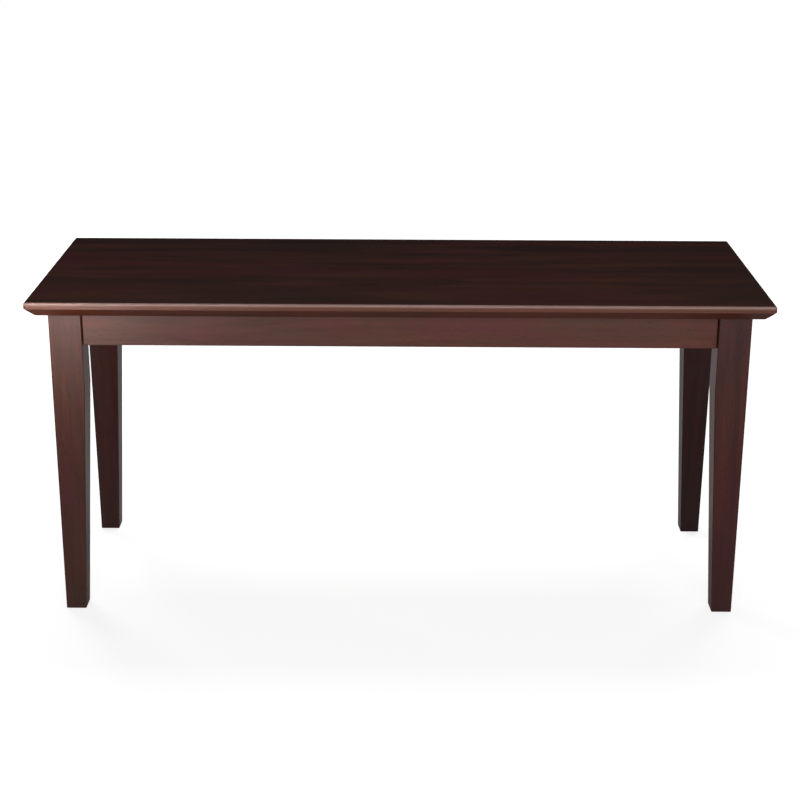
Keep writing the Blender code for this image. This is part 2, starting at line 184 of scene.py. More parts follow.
def weighted_sum(tree, *parts):
    """The sum of masks, each weakened by its own share."""
    total = 0.0
    for mask, share in parts:
        total = math_node(tree, "ADD", total, product(tree, mask, share))
    return total


def mapped(tree, vector, location=(0, 0, 0), rotation=(0, 0, 0), scale=(1, 1, 1)):
    inputs = {"Vector": vector, "Location": location, "Rotation": rotation, "Scale": scale}
    return add_node(tree, "ShaderNodeMapping", inputs).outputs["Vector"]


def apart(tree, vector):
    """The X, Y and Z of a vector, each as its own output."""
    return add_node(tree, "ShaderNodeSeparateXYZ", {"Vector": vector}).outputs


def noise(tree, vector, scale, detail=3.0, roughness=0.55, distortion=0.0):
    inputs = {
        "Vector": vector,
        "Scale": scale,
        "Detail": detail,
        "Roughness": roughness,
        "Distortion": distortion,
    }
    return add_node(tree, "ShaderNodeTexNoise", inputs).outputs["Fac"]


def spread(tree, value, low, high, to_low=0.0, to_high=1.0):
    """Carries the range low to high over to another range, clamped."""
    inputs = {"Value": value, "From Min": low, "From Max": high, "To Min": to_low, "To Max": to_high}
    return add_node(tree, "ShaderNodeMapRange", inputs, clamp=True).outputs["Result"]


def mix_colours(tree, share, first, second):
    """From the first colour to the second; each is a colour, or another node's output."""
    inputs = {"Factor": share}
    for index, value in ((6, first), (7, second)):
        inputs[index] = value if isinstance(value, bpy.types.NodeSocket) else (*value, 1)
    return add_node(tree, "ShaderNodeMix", inputs, data_type="RGBA").outputs[2]


def laid_over(tree, colour, tone, mask, share):
    """The colour with a tone laid over it where the mask says, as strongly as the share allows."""
    return mix_colours(tree, product(tree, mask, share), colour, tone)


def new_group(name, inputs, outputs):
    """A shader node group with named sockets; returns its tree, its input and its output sockets."""
    group = bpy.data.node_groups.new(name, "ShaderNodeTree")
    for socket_name, kind, default in inputs:
        socket = group.interface.new_socket(socket_name, in_out="INPUT", socket_type=kind)
        if default is not None:
            socket.default_value = default
    for socket_name in outputs:
        group.interface.new_socket(socket_name, in_out="OUTPUT", socket_type="NodeSocketFloat")
    entry = group.nodes.new("NodeGroupInput")
    exit_node = group.nodes.new("NodeGroupOutput")
    return group, entry.outputs, exit_node.inputs


def place_group(tree, group_name, inputs):
    return add_node(tree, "ShaderNodeGroup", inputs, node_tree=GROUPS[group_name]).outputs


# Grain directions: each turn brings the piece's grain onto the pattern's X
ALONG_LENGTH = (0, 0, 0)
ALONG_DEPTH = (0, 0, math.radians(-90))
UPRIGHT = (0, math.radians(90), 0)
RISING_DIAGONAL = (0, 0, math.radians(-45))
FALLING_DIAGONAL = (0, 0, math.radians(45))

# The grain's pattern: its scales per metre, and how far each part is drawn out along the grain
HEART_PLACE = (0.0, 0.061, 0.043)
HEART_SLANT = (0.0, math.radians(1.6), math.radians(-2.1))
HEART_STRETCH = (0.30, 1, 1)
RING_SCALE = 26.0
STREAK_SCALE = 52.0
STREAK_STRETCH = (0.07, 1, 1)
MOTTLE_SCALE = 30.0
SEAT_MOTTLE_SCALE = 13.0
MOTTLE_PLACE = (0.31, 0.17, 0.23)
MOTTLE_STRETCH = (0.22, 1, 1)
FIBRE_SCALE = 620.0
FIBRE_STRETCH = (0.045, 1, 1)
FIBRE_RELIEF = 0.35
PORE_SCALE = 1150.0
PORE_STRETCH = (0.085, 1, 1)
RAW_FIBRE_SCALE = 1.6
BOARD_SHIFT = 0.35

# Worn arrises, foot scuffs, the lacquer and the painted shade under the seat
WEAR_WIDTH = 0.0015
WEAR_PATCH_SCALE = 30.0
WEAR_BEND = (0.995, 0.86)
SCUFF_SCALE = 34.0
SCUFF_STRETCH = (1, 1, 0.35)
SCUFF_HEIGHT = 0.26
CLOUD_SCALE = 9.0
PEEL_SCALE = 420.0
PEEL_RELIEF = 0.25
CORNER_SHADE_HEIGHT = 0.014

# Where the seat's masks begin and end, by the Z of the surface's normal, or by its Y for the front
LEVEL_TOP = (0.99, 0.90)
ARRIS_LEAN = (0.96, 0.82)
EDGE_LEAN = (-0.70, -0.25)
UNDERCUT_LEAN = (-0.35, -0.70)
LEVEL_UNDERSIDE = (-0.98, -0.90)
FRONT_LEAN = (0.1, -0.2)
# How many roundings under the top the painted sheen below the arris and the arris's painted highlight
# begin, and where both are full
SHEEN_START = 1.8
ARRIS_START = 1.15
ARRIS_FULL = 0.85
# Patches along the arris's painted highlight, and the highlight's share at the rear
ARRIS_PATCH_SCALE = 7.0
REAR_ARRIS_SHARE = 0.35

# How much each part of the figure, mottle and wear shows, and each painted light, highlight and shade
RING_SHARE = 0.20
STREAK_SHARE = 0.60
FIBRE_SHARE = 0.20
BOARD_SHARE = 0.16
FRONT_PAINTED_LIGHT_SHARE = 0.50
RUDDY_SHARE = 0.70
SMOKY_SHARE = 0.60
PORE_SHARE = 0.55
PORE_DEPTH = 0.45
WORN_SHARE = 0.35
SEAT_WORN_SHARE = 0.15
SEAT_SHEEN_SHARE = 0.36
SEAT_EDGE_PAINTED_LIGHT_SHARE = 0.8
SEAT_ARRIS_HIGHLIGHT_SHARE = 0.9
UNDERCUT_SHADE_SHARE = 0.6
SCUFF_SHARE = 0.50
CORNER_SHADE_SHARE = {"apron": 0.80, "leg": 0.36}

# Roughness and its cloudy spread, and each bump's strength and depth
OUTER_ROUGHNESS = 0.36
INNER_ROUGHNESS = 0.58
CLOUDY_SPREAD = (-0.03, 0.04)
PORE_ROUGHNESS = 0.10
RAW_ROUGHNESS = (0.58, 0.70)
STEEL_ROUGHNESS = (0.42, 0.28)
LACQUER_SPECULAR = 0.20
LACQUER_BUMP = (0.12, 0.0002)
RAW_BUMP = (0.25, 0.0002)
STEEL_BUMP = (0.15, 0.00005)

# The stain's tones on the seat, legs, aprons and inner pieces
SEAT_STAIN = {
    "deep": (0.020, 0.0046, 0.0036),
    "light": (0.134, 0.0365, 0.0180),
    "ruddy": (0.092, 0.0145, 0.0165),
    "smoky": (0.042, 0.0150, 0.0110),
    "worn": (0.130, 0.0500, 0.0300),
}
# Painted light: the seat's upright edge paler, as the light that falls on it
SEAT_EDGE_PAINTED_LIGHT_TONE = (0.138, 0.0340, 0.0110)
# Painted highlight along the seat's upper arris
SEAT_ARRIS_HIGHLIGHT_TONE = (0.475, 0.312, 0.278)
# Painted shade: the seat's undercut darker and redder
UNDERCUT_SHADE_TONE = (0.050, 0.0090, 0.0030)
LEG_STAIN = {
    "deep": (0.030, 0.0085, 0.0055),
    "light": (0.106, 0.0255, 0.0155),
    "ruddy": (0.068, 0.0130, 0.0155),
    "smoky": (0.056, 0.0195, 0.0140),
    "scuffed": (0.048, 0.0310, 0.0310),
    "worn": (0.130, 0.0450, 0.0280),
}
# Each leg has its own copy of the stain: the rear legs painted darker as shade, the front left paler as
# painted light, and each with a tint of its own wood
LEG_LIGHT_SHADE_AND_TINT = {
    "front_left": (1.12, 1.24, 1.12),
    "front_right": (0.97, 0.82, 0.88),
    "rear_left": (0.92, 0.92, 1.04),
    "rear_right": (0.53, 0.56, 0.60),
}
APRON_STAIN = {
    "deep": (0.060, 0.0142, 0.0076),
    "light": (0.144, 0.0380, 0.0205),
    "ruddy": (0.118, 0.0200, 0.0205),
    "smoky": (0.086, 0.0330, 0.0195),
    "worn": (0.150, 0.0540, 0.0330),
}
INNER_STAIN = {
    "deep": (0.032, 0.0095, 0.0056),
    "light": (0.074, 0.0225, 0.0132),
    "ruddy": (0.056, 0.0130, 0.0105),
    "smoky": (0.044, 0.0180, 0.0110),
    "worn": (0.120, 0.0420, 0.0260),
}

# The dowels' raw wood and the fasteners' plated steel
RAW_DEEP = (0.50, 0.35, 0.20)
RAW_LIGHT = (0.66, 0.50, 0.33)
RAW_PORES = (0.33, 0.21, 0.11)
STEEL_DULL = (0.50, 0.50, 0.47)
STEEL_BRIGHT = (0.66, 0.67, 0.66)
STEEL_RUBBED = (0.80, 0.80, 0.79)
STEEL_WEAR_WIDTH = 0.0004
STEEL_PATCH_SCALE = 260.0
STEEL_CLOUD_SCALE = 180.0


def wood_grain_group():
    """Solid wood round a slanted heart: growth rings, long fibres and short pores, its grain along X."""
    group, given, made = new_group(
        "wood_grain",
        [
            ("Vector", "NodeSocketVector", None),
            ("Mottle Scale", "NodeSocketFloat", MOTTLE_SCALE),
            ("Fibre Scale", "NodeSocketFloat", 1.0),
        ],
        ["Rings", "Streaks", "Mottle", "Fibres", "Pores", "Relief"],
    )
    vector = given["Vector"]
    rings = add_node(
        group,
        "ShaderNodeTexWave",
        {
            "Vector": mapped(group, vector, HEART_PLACE, HEART_SLANT, HEART_STRETCH),
            "Scale": RING_SCALE,
            "Distortion": 5.5,
            "Detail": 3.0,
            "Detail Scale": 0.9,
            "Detail Roughness": 0.55,
        },
        wave_type="RINGS",
        rings_direction="X",
        wave_profile="SAW",
    ).outputs["Fac"]
    streak_way = mapped(group, vector, scale=STREAK_STRETCH)
    streaks = spread(group, noise(group, streak_way, STREAK_SCALE, 4.0, 0.6, 0.4), 0.34, 0.66)
    mottle_way = mapped(group, vector, MOTTLE_PLACE, scale=MOTTLE_STRETCH)
    mottle = spread(group, noise(group, mottle_way, given["Mottle Scale"], 3.0, 0.6, 0.3), 0.36, 0.64)
    fibre_way = mapped(group, vector, scale=FIBRE_STRETCH)
    fibre_scale = product(group, given["Fibre Scale"], FIBRE_SCALE)
    fibres = spread(group, noise(group, fibre_way, fibre_scale, 3.0, 0.6), 0.25, 0.75)
    pore_way = mapped(group, vector, scale=PORE_STRETCH)
    pore_scale = product(group, given["Fibre Scale"], PORE_SCALE)
    pores = spread(group, noise(group, pore_way, pore_scale, 1.0, 0.4), 0.64, 0.74)
    relief = math_node(group, "SUBTRACT", product(group, fibres, FIBRE_RELIEF), pores)
    for name, value in (("Rings", rings), ("Streaks", streaks), ("Mottle", mottle)):
        group.links.new(value, made[name])
    for name, value in (("Fibres", fibres), ("Pores", pores), ("Relief", relief)):
        group.links.new(value, made[name])
    return group


def edge_wear_group():
    """Where a surface bends over an arris, broken up along its length."""
    group, given, made = new_group(
        "edge_wear",
        [
            ("Vector", "NodeSocketVector", None),
            ("Width", "NodeSocketFloat", WEAR_WIDTH),
            ("Patch Scale", "NodeSocketFloat", WEAR_PATCH_SCALE),
        ],
        ["Mask"],
    )
    rounded = add_node(group, "ShaderNodeBevel", {"Radius": given["Width"]}, samples=6).outputs["Normal"]
    straight = add_node(group, "ShaderNodeNewGeometry").outputs["True Normal"]
    agreement = add_node(group, "ShaderNodeVectorMath", {0: rounded, 1: straight}, operation="DOT_PRODUCT")
    bend = spread(group, agreement.outputs["Value"], *WEAR_BEND)
    patches = spread(group, noise(group, given["Vector"], given["Patch Scale"], 4.0, 0.65), 0.38, 0.66)
    group.links.new(product(group, bend, patches), made["Mask"])
    return group


def satin_finish_group():
    """The lacquer's slow unevenness and its fine orange peel."""
    group, given, made = new_group(
        "satin_finish",
        [("Vector", "NodeSocketVector", None), ("Cloud Scale", "NodeSocketFloat", CLOUD_SCALE)],
        ["Clouds", "Peel"],
    )
    clouds = spread(group, noise(group, given["Vector"], given["Cloud Scale"], 4.0, 0.6), 0.3, 0.7)
    group.links.new(clouds, made["Clouds"])
    group.links.new(noise(group, given["Vector"], PEEL_SCALE, 2.0, 0.5), made["Peel"])
    return group


GROUPS = {
    "wood_grain": wood_grain_group(),
    "edge_wear": edge_wear_group(),
    "satin_finish": satin_finish_group(),
}


def new_material(name):
    """A node material; returns it, its tree, its shader and the piece's own coordinates."""
    made = bpy.data.materials.new(name)
    made.use_nodes = True
    tree = made.node_tree
    shader = tree.nodes["Principled BSDF"]
    coordinates = add_node(tree, "ShaderNodeTexCoord").outputs["Object"]
    return made, tree, shader, coordinates


def add_bump(tree, shader, bump, height):
    strength, depth = bump
    inputs = {"Strength": strength, "Distance": depth, "Height": height}
    made = add_node(tree, "ShaderNodeBump", inputs)
    tree.links.new(made.outputs["Normal"], shader.inputs["Normal"])


def glued_boards(tree, vector):
    """Shifts the grain from board to board across a glued-up panel, and gives each board its own tone."""
    number = math_node(tree, "FLOOR", math_node(tree, "DIVIDE", apart(tree, vector)["Y"], SEAT_BOARD_WIDTH))
    chance = add_node(tree, "ShaderNodeTexWhiteNoise", {"W": number}, noise_dimensions="1D").outputs
    inputs = {0: chance["Color"], "Scale": BOARD_SHIFT}
    shift = add_node(tree, "ShaderNodeVectorMath", inputs, operation="SCALE").outputs[0]
    moved = add_node(tree, "ShaderNodeVectorMath", {0: vector, 1: shift}, operation="ADD").outputs[0]
    return moved, chance["Value"]


def seat_places(tree, coordinates):
    """Masks of the seat's upright edge for painted light, its upper arris for a painted highlight with a
    painted sheen below it, its undercut for painted shade, and its top for painted light towards the front.
    """
    place = apart(tree, coordinates)
    facing = apart(tree, add_node(tree, "ShaderNodeNewGeometry").outputs["Normal"])
    sideways = spread(tree, facing["Z"], *LEVEL_TOP)
    # The upright edge, which is painted paler as light
    edge = product(tree, spread(tree, facing["Z"], *EDGE_LEAN), sideways)
    # The undercut, which is painted darker as shade
    downwards = spread(tree, facing["Z"], *UNDERCUT_LEAN)
    undercut = product(tree, downwards, spread(tree, facing["Z"], *LEVEL_UNDERSIDE))
    start = SEAT_HIGH.z - ARRIS_START * SEAT_TOP_ROUNDING
    full = SEAT_HIGH.z - ARRIS_FULL * SEAT_TOP_ROUNDING
    sheen_start = SEAT_HIGH.z - SHEEN_START * SEAT_TOP_ROUNDING
    # Painted highlight along the upper arris, with a painted sheen fading below it, broken into patches
    arris = product(tree, spread(tree, place["Z"], start, full), spread(tree, facing["Z"], *ARRIS_LEAN))
    painted_sheen = spread(tree, place["Z"], sheen_start, full, 0.0, SEAT_SHEEN_SHARE)
    arris = math_node(tree, "MAXIMUM", arris, product(tree, painted_sheen, sideways))
    arris = product(tree, arris, spread(tree, facing["Y"], *FRONT_LEAN, REAR_ARRIS_SHARE, 1.0))
    highlight_patches = spread(tree, noise(tree, coordinates, ARRIS_PATCH_SCALE, 3.0, 0.6), 0.3, 0.7, 0.75, 1.0)
    # Painted light: the top paler towards the front
    front_painted_light = spread(tree, place["Y"], SEAT_HIGH.y, SEAT_LOW.y)
    return edge, product(tree, arris, highlight_patches), undercut, front_painted_light


def foot_scuffs(tree, coordinates):
    """Where a leg is scuffed paler towards the floor."""
    low = spread(tree, apart(tree, coordinates)["Z"], SCUFF_HEIGHT, 0.0)
    way = mapped(tree, coordinates, scale=SCUFF_STRETCH)
    patches = spread(tree, noise(tree, way, SCUFF_SCALE, 4.0, 0.65), 0.3, 0.6, 0.45, 1.0)
    return product(tree, low, patches)


def painted_shade_under_seat(tree, coordinates):
    """Painted shade in the corner under the seat, darkest close under it."""
    return spread(tree, apart(tree, coordinates)["Z"], FRAME_TOP - CORNER_SHADE_HEIGHT, FRAME_TOP)


def lit_shaded_and_tinted(stain, shares):
    """The same stain, painted paler or darker in red, green and blue."""
    return {
        tone: tuple(channel * share for channel, share in zip(colour, shares))
        for tone, colour in stain.items()
    }


def stained_wood(name, grain, stain, roughness, part=""):
    """Stained wood under satin lacquer: deep and light figure, ruddy and smoky mottle, worn arrises,
    painted light, highlight and shade on the seat, and painted shade under the seat on the aprons and legs.
    """
    made, tree, shader, coordinates = new_material(name)
    is_seat = part == "seat"
    turned = mapped(tree, coordinates, rotation=grain)
    vector = turned
    if is_seat:
        vector, board_tone = glued_boards(tree, turned)
        edge, arris, undercut, front_painted_light = seat_places(tree, coordinates)
    mottle_scale = SEAT_MOTTLE_SCALE if is_seat else MOTTLE_SCALE
    pattern = place_group(tree, "wood_grain", {"Vector": vector, "Mottle Scale": mottle_scale})
    wear = place_group(tree, "edge_wear", {"Vector": coordinates})
    finish = place_group(tree, "satin_finish", {"Vector": turned})

    figure = weighted_sum(
        tree,
        (pattern["Rings"], RING_SHARE),
        (pattern["Streaks"], STREAK_SHARE),
        (pattern["Fibres"], FIBRE_SHARE),
    )
    if is_seat:
        # Painted light: the seat's top paler towards the front
        figure = weighted_sum(tree, (figure, 1.0), (board_tone, BOARD_SHARE), (front_painted_light, FRONT_PAINTED_LIGHT_SHARE))
        figure = math_node(tree, "SUBTRACT", figure, (BOARD_SHARE + FRONT_PAINTED_LIGHT_SHARE) / 2, clamp=True)
    colour = mix_colours(tree, figure, stain["deep"], stain["light"])
    ruddy = spread(tree, pattern["Mottle"], 0.5, 1.0, 0.0, RUDDY_SHARE)
    colour = mix_colours(tree, ruddy, colour, stain["ruddy"])
    smoky = spread(tree, pattern["Mottle"], 0.5, 0.0, 0.0, SMOKY_SHARE)
    colour = mix_colours(tree, smoky, colour, stain["smoky"])
    pore_tone = tuple(PORE_DEPTH * channel for channel in stain["deep"])
    colour = laid_over(tree, colour, pore_tone, pattern["Pores"], PORE_SHARE)
    if is_seat:
        # Painted light on the seat: the upright edge paler, a painted highlight on the arris and painted
        # shade in the undercut
        colour = laid_over(tree, colour, SEAT_EDGE_PAINTED_LIGHT_TONE, edge, SEAT_EDGE_PAINTED_LIGHT_SHARE)
        colour = laid_over(tree, colour, SEAT_ARRIS_HIGHLIGHT_TONE, arris, SEAT_ARRIS_HIGHLIGHT_SHARE)
        colour = laid_over(tree, colour, UNDERCUT_SHADE_TONE, undercut, UNDERCUT_SHADE_SHARE)
    # Painted shade close under the seat, on the aprons and legs
    if part in CORNER_SHADE_SHARE:
        corner = painted_shade_under_seat(tree, coordinates)
        colour = laid_over(tree, colour, pore_tone, corner, CORNER_SHADE_SHARE[part])
    if part == "leg":
        colour = laid_over(tree, colour, stain["scuffed"], foot_scuffs(tree, coordinates), SCUFF_SHARE)
    worn_share = SEAT_WORN_SHARE if is_seat else WORN_SHARE
    colour = laid_over(tree, colour, stain["worn"], wear["Mask"], worn_share)
    tree.links.new(colour, shader.inputs["Base Color"])

    smoothest, roughest = (roughness + change for change in CLOUDY_SPREAD)
    clouds = spread(tree, finish["Clouds"], 0.0, 1.0, smoothest, roughest)
    uneven = weighted_sum(tree, (clouds, 1.0), (pattern["Pores"], PORE_ROUGHNESS))
    tree.links.new(uneven, shader.inputs["Roughness"])
    shader.inputs["Specular IOR Level"].default_value = LACQUER_SPECULAR
    height = weighted_sum(tree, (finish["Peel"], PEEL_RELIEF), (pattern["Relief"], 1.0))
    add_bump(tree, shader, LACQUER_BUMP, height)
    return made


def raw_dowel_wood(name):
    """Pale wood as it is cut, without stain or lacquer."""
    made, tree, shader, coordinates = new_material(name)
    turned = mapped(tree, coordinates, rotation=ALONG_DEPTH)
    pattern = place_group(tree, "wood_grain", {"Vector": turned, "Fibre Scale": RAW_FIBRE_SCALE})
    colour = mix_colours(tree, pattern["Streaks"], RAW_DEEP, RAW_LIGHT)
    colour = mix_colours(tree, pattern["Pores"], colour, RAW_PORES)
    tree.links.new(colour, shader.inputs["Base Color"])
    uneven = spread(tree, pattern["Fibres"], 0.0, 1.0, *RAW_ROUGHNESS)
    tree.links.new(uneven, shader.inputs["Roughness"])
    add_bump(tree, shader, RAW_BUMP, pattern["Relief"])
    return made


def plated_steel(name):
    """Zinc-plated steel, a little cloudy and dulled, brighter where its edges are worn."""
    made, tree, shader, coordinates = new_material(name)
    inputs = {"Vector": coordinates, "Width": STEEL_WEAR_WIDTH, "Patch Scale": STEEL_PATCH_SCALE}
    wear = place_group(tree, "edge_wear", inputs)
    finish = place_group(tree, "satin_finish", {"Vector": coordinates, "Cloud Scale": STEEL_CLOUD_SCALE})
    colour = mix_colours(tree, finish["Clouds"], STEEL_DULL, STEEL_BRIGHT)
    colour = mix_colours(tree, wear["Mask"], colour, STEEL_RUBBED)
    tree.links.new(colour, shader.inputs["Base Color"])
    shader.inputs["Metallic"].default_value = 1.0
    uneven = spread(tree, finish["Clouds"], 0.0, 1.0, *STEEL_ROUGHNESS)
    tree.links.new(uneven, shader.inputs["Roughness"])
    add_bump(tree, shader, STEEL_BUMP, finish["Peel"])
    return made


def outer_wood(name, grain, stain, part=""):
    return stained_wood(name, grain, stain, OUTER_ROUGHNESS, part)


def inner_wood(name, grain):
    return stained_wood(name, grain, INNER_STAIN, INNER_ROUGHNESS)


MATERIALS = {
    "seat": outer_wood("seat_wood", ALONG_LENGTH, SEAT_STAIN, "seat"),
    "long_apron": outer_wood("long_apron_wood", ALONG_LENGTH, APRON_STAIN, "apron"),
    "end_apron": outer_wood("end_apron_wood", ALONG_DEPTH, APRON_STAIN, "apron"),
    "rail": inner_wood("rail_wood", ALONG_DEPTH),
    "rising_block": inner_wood("rising_block_wood", RISING_DIAGONAL),
    "falling_block": inner_wood("falling_block_wood", FALLING_DIAGONAL),
    "dowel": raw_dowel_wood("raw_dowel_wood"),
    "steel": plated_steel("plated_steel"),
}
# A copy of the leg stain for each leg, with its painted light, shade and tint
for leg_corner, leg_light_shade_and_tint in LEG_LIGHT_SHADE_AND_TINT.items():
    leg_stain = lit_shaded_and_tinted(LEG_STAIN, leg_light_shade_and_tint)
    MATERIALS[leg_corner + "_leg"] = outer_wood(leg_corner + "_leg_wood", UPRIGHT, leg_stain, "leg")


# Shapes


def add_box(bm, low, high):
    """A box between two corners; returns its vertices."""
    low = Vector(low)
    high = Vector(high)
    size = Matrix.Diagonal((*(high - low), 1))
    return bmesh.ops.create_cube(bm, size=1, matrix=Matrix.Translation((low + high) / 2) @ size)["verts"]


def along(start, direction):
    """The placement whose origin is the start and whose +Z is the direction."""
    turn = Vector(direction).to_track_quat("Z", "Y").to_matrix().to_4x4()
    return Matrix.Translation(start) @ turn


def bevel(bm, edges, width, segments):
    """Rounds edges off, or chamfers them with one segment."""
    bmesh.ops.bevel(
        bm, geom=edges, offset=width, segments=segments, profile=0.5, material=-1, affect="EDGES"
    )


def sharp_rim(bm, height):
    """The sharp edges that lie level at a height."""
    return [
        edge
        for edge in bm.edges
        if len(edge.link_faces) == 2
        and edge.calc_face_angle() > SHARP_ANGLE
        and all(abs(vert.co.z - height) < GAP for vert in edge.verts)
    ]


def rising_edges(bm):
    """The edges that rise from one level to another."""
    return [edge for edge in bm.edges if abs(edge.verts[0].co.z - edge.verts[1].co.z) > GAP]


def add_rod(bm, start, end, radius):
    """A round rod between two points."""
    start = Vector(start)
    end = Vector(end)
    length = (end - start).length
    placement = along(start, end - start) @ Matrix.Translation((0, 0, length / 2))
    bmesh.ops.create_cone(
        bm,
        cap_ends=True,
        segments=ROUND_SIDES,
        radius1=radius,
        radius2=radius,
        depth=length,
        matrix=placement,
    )


def new_verts(extruded):
    """The vertices among what an extrusion made."""
    return [item for item in extruded if isinstance(item, bmesh.types.BMVert)]


def add_prism(bm, outline, bottom, top):
    """A flat outline of (x, y) points, extruded from bottom to top."""
    face = bm.faces.new([bm.verts.new((x, y, bottom)) for x, y in outline])
    extruded = bmesh.ops.extrude_face_region(bm, geom=[face])["geom"]
    bmesh.ops.translate(bm, verts=new_verts(extruded), vec=(0, 0, top - bottom))


def add_turned(bm, profile, placement=Matrix.Identity(4), sides=ROUND_SIDES, closed=False):
    """Spins a profile of (radius, height) points about the placement's +Z."""
    before = set(bm.verts)
    points = [bm.verts.new((radius, 0, height)) for radius, height in profile]
    pairs = list(zip(points, points[1:]))
    if closed:
        pairs.append((points[-1], points[0]))
    edges = [bm.edges.new(pair) for pair in pairs]
    bmesh.ops.spin(
        bm,
        geom=points + edges,
        cent=(0, 0, 0),
        axis=(0, 0, 1),
        angle=math.tau,
        steps=sides,
        use_merge=True,
    )
    bmesh.ops.remove_doubles(bm, verts=[vert for vert in bm.verts if vert not in before], dist=1e-6)
    made = [vert for vert in bm.verts if vert not in before]
    bmesh.ops.transform(bm, matrix=placement, verts=made)


def arc(centre, radius, start, end, steps):
    """Points of (radius, height) round a centre, from one angle to another."""
    turns = [start + (end - start) * index / steps for index in range(steps + 1)]
    return [(centre[0] + radius * math.cos(turn), centre[1] + radius * math.sin(turn)) for turn in turns]


def add_thread(bm, radius, depth, pitch, bottom, top):
    """A V-shaped ridge that winds up a rod about +Z, with both of its ends closed."""
    turns = (top - bottom) / pitch
    core = radius - depth
    half_width = THREAD_HALF_WIDTH * pitch
    profile = [(core, -half_width), (radius, 0.0), (core, half_width)]
    points = [bm.verts.new((across, 0, bottom + height)) for across, height in profile]
    edges = [bm.edges.new((points[index], points[index - 1])) for index in range(3)]
    bmesh.ops.spin(
        bm,
        geom=points + edges,
        cent=(0, 0, 0),
        axis=(0, 0, 1),
        dvec=(0, 0, pitch / THREAD_STEPS),
        angle=math.tau * turns,
        steps=round(THREAD_STEPS * turns),
        use_merge=False,
    )
    bmesh.ops.holes_fill(bm, edges=[edge for edge in bm.edges if edge.is_boundary], sides=3)


def mesh_of(name, bm):
    """The finished mesh, with its faces outwards; the bmesh is spent."""
    bmesh.ops.recalc_face_normals(bm, faces=bm.faces)
    mesh = bpy.data.meshes.new(name)
    bm.to_mesh(mesh)
    bm.free()
    return mesh


def carved(mesh, bm, operation="DIFFERENCE"):
    """The mesh with the bmesh's shape taken out of it, or what both share."""
    body = bpy.data.objects.new("body", mesh)
    tool = bpy.data.objects.new("tool", mesh_of("tool", bm))
    for helper in (body, tool):
        bpy.context.scene.collection.objects.link(helper)
    modifier = body.modifiers.new("cut", "BOOLEAN")
    modifier.operation = operation
    modifier.solver = "EXACT"
    modifier.object = tool
    graph = bpy.context.evaluated_depsgraph_get()
    result = bpy.data.meshes.new_from_object(body.evaluated_get(graph))
    for helper in (body, tool):
        bpy.data.objects.remove(helper)
    result.name = mesh.name
    return result


def add_piece(node, mesh, material):
    """A finished piece in place of its plain solid, with smooth rounds and flat faces."""
    mesh.materials.clear()
    mesh.materials.append(MATERIALS[material])
    mesh.shade_smooth()
    mesh.set_sharp_from_angle(angle=FLAT_SHADING_ANGLE)
    piece = bpy.data.objects.new("finished_" + node, mesh)
    bpy.context.scene.collection.objects.link(piece)
    piece.modifiers.new("flat_faces", "WEIGHTED_NORMAL").keep_sharp = True
    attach(piece, "root")
    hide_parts(node)


# Placements that repeat round the bench


def turned_about_z(x, y, quarter_turns):
    """The placement at (x, y) whose +X is turned by quarters from the bench's length."""
    return Matrix.Translation((x, y, 0)) @ Matrix.Rotation(quarter_turns * math.pi / 2, 4, "Z")


# Each corner's own frame starts at the leg's outer arris, and its +X and +Y run inwards
CORNERS = {
    "front_left": turned_about_z(-LEG_X, -LEG_Y, 0),
    "front_right": turned_about_z(LEG_X, -LEG_Y, 1),
    "rear_right": turned_about_z(LEG_X, LEG_Y, 2),
    "rear_left": turned_about_z(-LEG_X, LEG_Y, 3),
}
APRON_SETBACK = APRON_INNER - APRON_THICKNESS
LONG_APRON_LENGTH = 2 * (LEG_X - LEG_SIZE - GAP)
END_APRON_LENGTH = 2 * (LEG_Y - LEG_SIZE - GAP)

# Each apron's length, number of seat screws and placement: its own +Y runs inwards from its face
APRONS = {
    "front_apron": (LONG_APRON_LENGTH, 4, turned_about_z(0, APRON_SETBACK - LEG_Y, 0)),
    "right_apron": (END_APRON_LENGTH, 2, turned_about_z(LEG_X - APRON_SETBACK, 0, 1)),
    "rear_apron": (LONG_APRON_LENGTH, 4, turned_about_z(0, LEG_Y - APRON_SETBACK, 2)),
    "left_apron": (END_APRON_LENGTH, 2, turned_about_z(APRON_SETBACK - LEG_X, 0, 3)),
}


def pocket_screws(length, count):
    """An apron's slanted screws in its own frame, their length and their pockets' depth."""
    reach = BLOCK_REACH - LEG_SIZE
    last = length / 2 - reach - POCKET_TO_BLOCK
    direction = Vector((0, -math.sin(POCKET_ANGLE), math.cos(POCKET_ANGLE)))
    wood_above = (APRON_THICKNESS / 2 - HEAD_BORE_RADIUS) / math.sin(POCKET_ANGLE)
    screw_length = wood_above + (SEAT_BITE + GAP) / math.cos(POCKET_ANGLE)
    pocket = 2 * HEAD_BORE_RADIUS / math.sin(POCKET_ANGLE)
    placements = []
    for index in range(count):
        crossing = Vector((last * (2 * index / (count - 1) - 1), APRON_THICKNESS / 2, FRAME_TOP))
        placements.append(along(crossing - direction * wood_above, direction))
    return placements, screw_length, pocket


def rail_screws():
    """The centre rail's upright screws and their length."""
    y = LEG_Y - APRON_INNER - RAIL_SCREW_TO_END
    head = RAIL_LOW.z + RAIL_HEAD_BORE
    placements = [Matrix.Translation((0, side * y, head)) for side in (-1, 1)]
    return placements, RAIL_HIGH.z - RAIL_LOW.z - RAIL_HEAD_BORE + GAP + SEAT_BITE


def block_screws():
    """A corner block's lower and upper screw in the corner's own frame."""
    reach = BLOCK_REACH - SCREW_TO_BLOCK_TIP
    side = BLOCK_SIDE + WOOD_UNDER_HEAD
    low = BLOCK_BOTTOM + SCREW_TO_BLOCK_EDGE
    high = FRAME_TOP - SCREW_TO_BLOCK_EDGE
    return {
        "lower": along((reach, side, low), (0, -1, 0)),
        "upper": along((side, reach, high), (-1, 0, 0)),
    }


